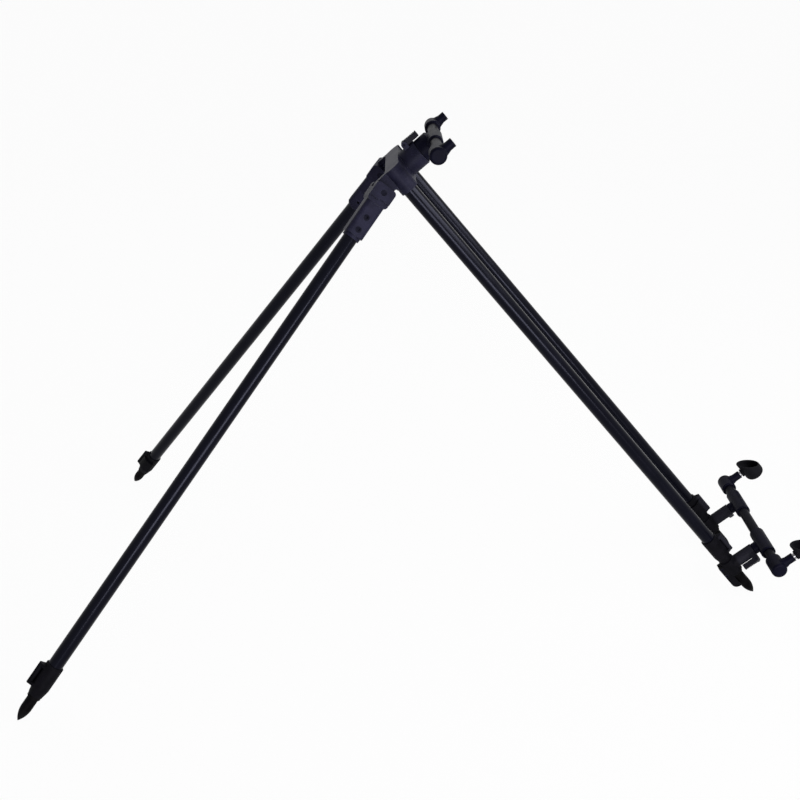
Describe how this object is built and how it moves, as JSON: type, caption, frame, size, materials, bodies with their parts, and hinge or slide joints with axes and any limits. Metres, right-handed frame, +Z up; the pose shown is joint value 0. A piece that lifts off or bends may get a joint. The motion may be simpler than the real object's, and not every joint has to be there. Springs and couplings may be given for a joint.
{
  "type": "rod pod",
  "caption": "Telescopic fishing rod pod: parallel beam tubes on splayed folding legs, lever clamps, height-adjustable front and rear bars, alarm sockets and swivelling butt cups.",
  "frame": {"origin": "ground level, midway between the front feet and the rod butt cups, on the pod's middle plane", "axes": "+X from the front feet to the butt cups, +Y to the right of the angler behind the cups who faces -X, +Z up"},
  "size_m": [1.0926, 0.6774, 0.6939],
  "materials": {
    "cast_alloy": "satin black paint over cast alloy",
    "anodised": "black anodised tube, half gloss",
    "moulding": "matt black glass-filled nylon",
    "cup_rubber": "matt black rubber",
    "bright_steel": "turned stainless steel",
    "black_steel": "blackened steel"
  },
  "bodies": {
    "frame": {"head_casting": "cast_alloy", "left_beam_tube": "anodised", "right_beam_tube": "anodised", "left_beam_clamp": "moulding", "right_beam_clamp": "moulding", "head_screws": "black_steel", "hinge_pins": "black_steel", "frame_lever_pins": "black_steel"},
    "rear_slide": {"left_beam_inner_tube": "anodised", "right_beam_inner_tube": "anodised", "beam_guides": "moulding", "left_beam_spike": "black_steel", "right_beam_spike": "black_steel", "left_post_bracket": "moulding", "right_post_bracket": "moulding", "pinch_screws": "black_steel", "post_lever_pins": "black_steel"},
    "front_crossbar": {"front_tee": "cast_alloy", "front_bar": "anodised", "front_tee_screw": "black_steel"},
    "rear_crossbar": {"left_rear_tee": "cast_alloy", "right_rear_tee": "cast_alloy", "rear_bar": "anodised", "rear_tee_screws": "black_steel"},
    "front_height_lever": {"front_post_lever": "moulding"},
    "left_leg": {"left_leg_knuckle": "cast_alloy", "left_leg_tube": "anodised", "left_leg_clamp": "moulding", "left_leg_screws": "black_steel", "left_leg_lever_pin": "black_steel"},
    "left_leg_foot": {"left_leg_inner_tube": "anodised", "left_leg_guide": "moulding", "left_leg_spike": "black_steel"},
    "left_leg_clamp_lever": {"left_leg_lever": "moulding"},
    "left_beam_clamp_lever": {"left_beam_lever": "moulding"},
    "left_rear_height_lever": {"left_post_lever": "moulding"},
    "left_front_arm": {"left_front_rod": "anodised", "left_front_elbow": "cast_alloy"},
    "left_rear_arm": {"left_rear_rod": "anodised", "left_rear_elbow": "cast_alloy"},
    "left_cup": {"left_cup_stud": "bright_steel", "left_butt_cup": "cup_rubber"},
    "right_leg": {"right_leg_knuckle": "cast_alloy", "right_leg_tube": "anodised", "right_leg_clamp": "moulding", "right_leg_screws": "black_steel", "right_leg_lever_pin": "black_steel"},
    "right_leg_foot": {"right_leg_inner_tube": "anodised", "right_leg_guide": "moulding", "right_leg_spike": "black_steel"},
    "right_leg_clamp_lever": {"right_leg_lever": "moulding"},
    "right_beam_clamp_lever": {"right_beam_lever": "moulding"},
    "right_rear_height_lever": {"right_post_lever": "moulding"},
    "right_front_arm": {"right_front_rod": "anodised", "right_front_elbow": "cast_alloy"},
    "right_rear_arm": {"right_rear_rod": "anodised", "right_rear_elbow": "cast_alloy"},
    "right_cup": {"right_cup_stud": "bright_steel", "right_butt_cup": "cup_rubber"}
  },
  "joints": [
    {"name": "left_leg_fold", "type": "hinge", "parent": "frame", "child": "left_leg", "pos_m": [-0.06839, -0.07236, 0.61842], "axis": [0.2516, -0.9449, 0.2092], "range_deg": [0, 78]},
    {"name": "left_leg_extend", "type": "slide", "parent": "left_leg", "child": "left_leg_foot", "axis": [-0.5793, -0.3202, -0.7496], "range_m": [0, 0.5]},
    {"name": "left_leg_clamp_open", "type": "hinge", "parent": "left_leg", "child": "left_leg_clamp_lever", "pos_m": [-0.52062, -0.31661, 0.05902], "axis": [0.5793, 0.3202, 0.7496], "range_deg": [0, 110]},
    {"name": "left_beam_clamp_open", "type": "hinge", "parent": "frame", "child": "left_beam_clamp_lever", "pos_m": [0.43222, -0.062, 0.08762], "axis": [0.6392, 0, -0.769], "range_deg": [0, 110]},
    {"name": "left_rear_height_lever_open", "type": "hinge", "parent": "rear_slide", "child": "left_rear_height_lever", "pos_m": [0.47949, -0.07225, 0.06313], "axis": [-0.452, -0.7071, 0.5438], "range_deg": [0, 100]},
    {"name": "left_front_arm_slide", "type": "slide", "parent": "front_crossbar", "child": "left_front_arm", "axis": [0, -1, 0], "range_m": [0, 0.06]},
    {"name": "left_rear_arm_slide", "type": "slide", "parent": "rear_crossbar", "child": "left_rear_arm", "axis": [0, -1, 0], "range_m": [0, 0.07]},
    {"name": "left_cup_turn", "type": "hinge", "parent": "left_rear_arm", "child": "left_cup", "pos_m": [0.50985, -0.13, 0.10169], "axis": [0.769, 0, 0.6392], "continuous": true},
    {"name": "right_leg_fold", "type": "hinge", "parent": "frame", "child": "right_leg", "pos_m": [-0.06839, 0.07236, 0.61842], "axis": [-0.2516, -0.9449, -0.2092], "range_deg": [0, 78]},
    {"name": "right_leg_extend", "type": "slide", "parent": "right_leg", "child": "right_leg_foot", "axis": [-0.5793, 0.3202, -0.7496], "range_m": [0, 0.5]},
    {"name": "right_leg_clamp_open", "type": "hinge", "parent": "right_leg", "child": "right_leg_clamp_lever", "pos_m": [-0.52062, 0.31661, 0.05902], "axis": [-0.5793, 0.3202, -0.7496], "range_deg": [0, 110]},
    {"name": "right_beam_clamp_open", "type": "hinge", "parent": "frame", "child": "right_beam_clamp_lever", "pos_m": [0.43222, 0.062, 0.08762], "axis": [-0.6392, 0, 0.769], "range_deg": [0, 110]},
    {"name": "right_rear_height_lever_open", "type": "hinge", "parent": "rear_slide", "child": "right_rear_height_lever", "pos_m": [0.47949, 0.07225, 0.06313], "axis": [0.452, -0.7071, -0.5438], "range_deg": [0, 100]},
    {"name": "right_front_arm_slide", "type": "slide", "parent": "front_crossbar", "child": "right_front_arm", "axis": [0, 1, 0], "range_m": [0, 0.06]},
    {"name": "right_rear_arm_slide", "type": "slide", "parent": "rear_crossbar", "child": "right_rear_arm", "axis": [0, 1, 0], "range_m": [0, 0.07]},
    {"name": "right_cup_turn", "type": "hinge", "parent": "right_rear_arm", "child": "right_cup", "pos_m": [0.50985, 0.13, 0.10169], "axis": [-0.769, 0, -0.6392], "continuous": true},
    {"name": "beam_extend", "type": "slide", "parent": "frame", "child": "rear_slide", "axis": [0.6392, 0, -0.769], "range_m": [0, 0.5]},
    {"name": "front_bar_height", "type": "slide", "parent": "frame", "child": "front_crossbar", "axis": [0.769, 0, 0.6392], "range_m": [0, 0.03]},
    {"name": "rear_bar_height", "type": "slide", "parent": "rear_slide", "child": "rear_crossbar", "axis": [0.769, 0, 0.6392], "range_m": [0, 0.018]},
    {"name": "front_height_lever_open", "type": "hinge", "parent": "frame", "child": "front_height_lever", "pos_m": [-0.0378, 0, 0.6683], "axis": [0, -1, 0], "range_deg": [0, 100]}
  ]
}
